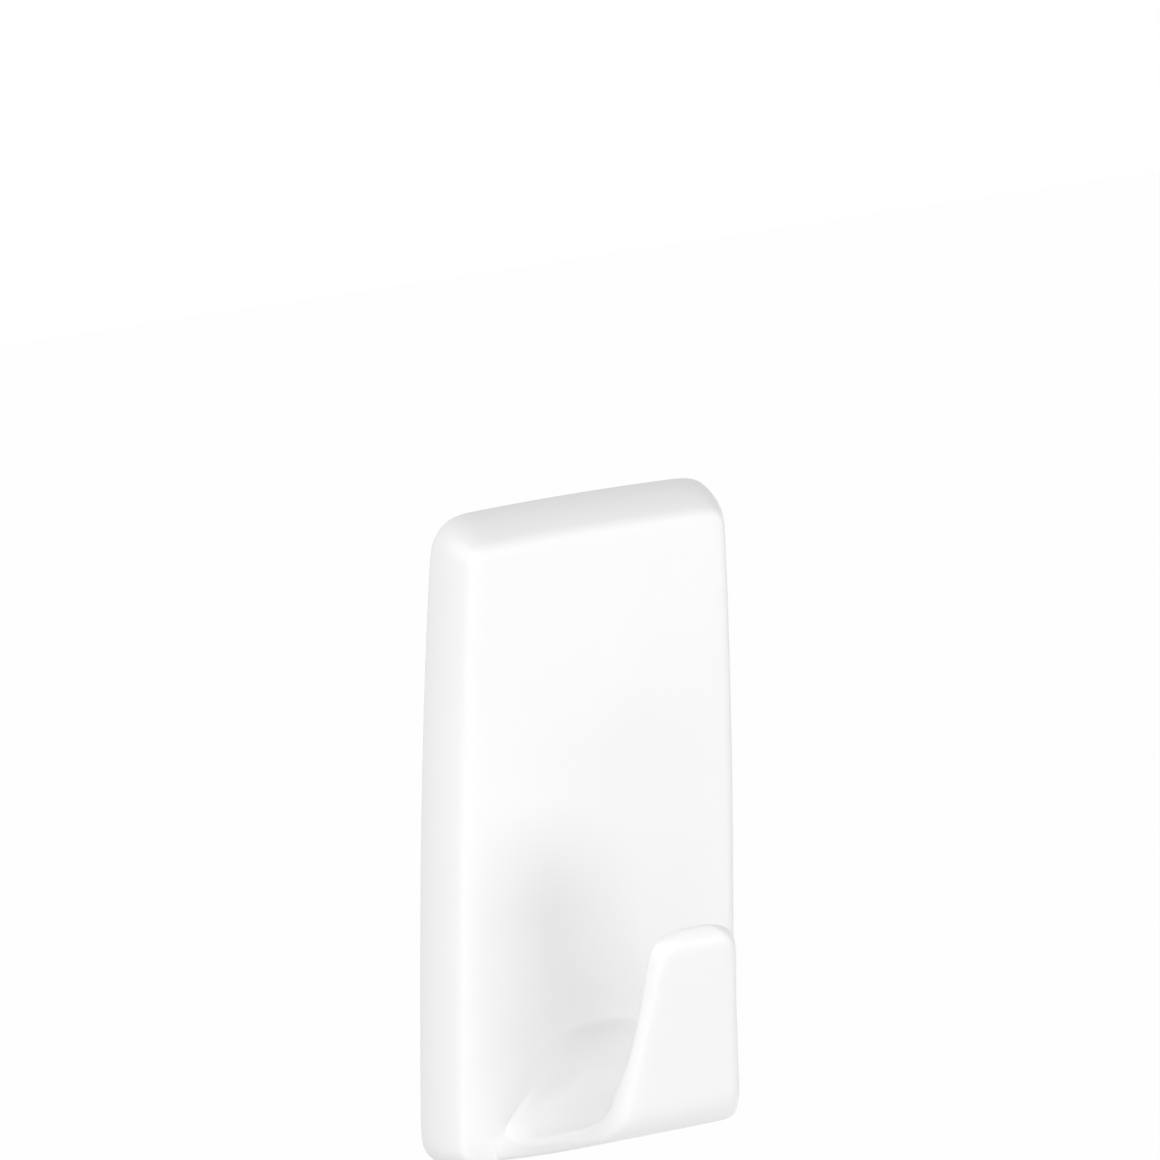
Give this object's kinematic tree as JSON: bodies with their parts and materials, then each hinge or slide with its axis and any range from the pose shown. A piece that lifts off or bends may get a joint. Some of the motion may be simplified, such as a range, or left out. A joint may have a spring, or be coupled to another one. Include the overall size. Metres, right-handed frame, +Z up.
{
  "type": "adhesive wall hook",
  "caption": "White moulded wall hook: a tall rounded cover with a curved upturned lip slides onto a flat base plate, bonded to the wall by a stretch-release strip.",
  "frame": {"origin": "centre of the bonded area of the strip, on the face that meets the wall", "axes": "+Z up the wall, +Y into the wall, so that the hook's front faces -Y, and +X to its right"},
  "size_m": [0.034, 0.0264, 0.067],
  "materials": {
    "cover_plastic": "smooth white moulded plastic, satin gloss",
    "base_plastic": "plain white moulded plastic, dull",
    "strip_rubber": "cream elastic film, dull",
    "adhesive": "tacky honey-coloured adhesive",
    "tab_film": "thin white dry film"
  },
  "bodies": {
    "strip": {"strip_core": "strip_rubber", "wall_adhesive": "adhesive", "plate_adhesive": "adhesive", "tab_film_front": "tab_film", "tab_film_rear": "tab_film"},
    "base": {"base_plate": "base_plastic"},
    "cover": {"hook_cover": "cover_plastic"}
  },
  "joints": [
    {"name": "strip_release", "type": "slide", "parent": "strip", "child": "base", "axis": [0, 0, 1], "range_m": [0, 0.06]},
    {"name": "cover_slide", "type": "slide", "parent": "base", "child": "cover", "axis": [0, 0, 1], "range_m": [0, 0.048]}
  ]
}
